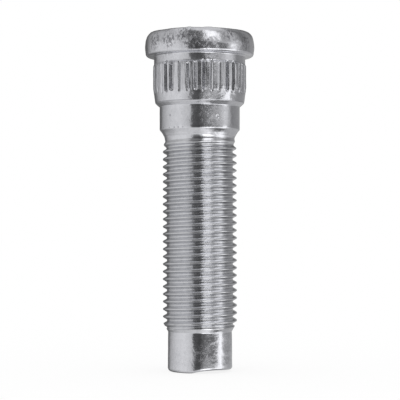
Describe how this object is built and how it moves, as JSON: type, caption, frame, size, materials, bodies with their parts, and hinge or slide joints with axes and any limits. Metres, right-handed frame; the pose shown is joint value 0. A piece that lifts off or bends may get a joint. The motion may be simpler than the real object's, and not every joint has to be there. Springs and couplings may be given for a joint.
{
  "type": "axle stud",
  "caption": "Press-in axle stud with a round domed head, a straight knurl with a tapered lead, a plain shoulder, a fine right-hand thread and a plain pilot end.",
  "frame": {"origin": "centre of the flat end of the pilot, which is the lowest point of the upright stud", "axes": "+Z along the stud's axis from the pilot end up to the head; +X and +Y are square to it, and the stud is round, so neither has a meaning of its own"},
  "size_m": [0.0186, 0.0186, 0.0575],
  "materials": {
    "zinc_plated_steel": "bright zinc plating, slightly mottled"
  },
  "bodies": {
    "root": {"wheel_stud": "zinc_plated_steel"}
  },
  "joints": []
}
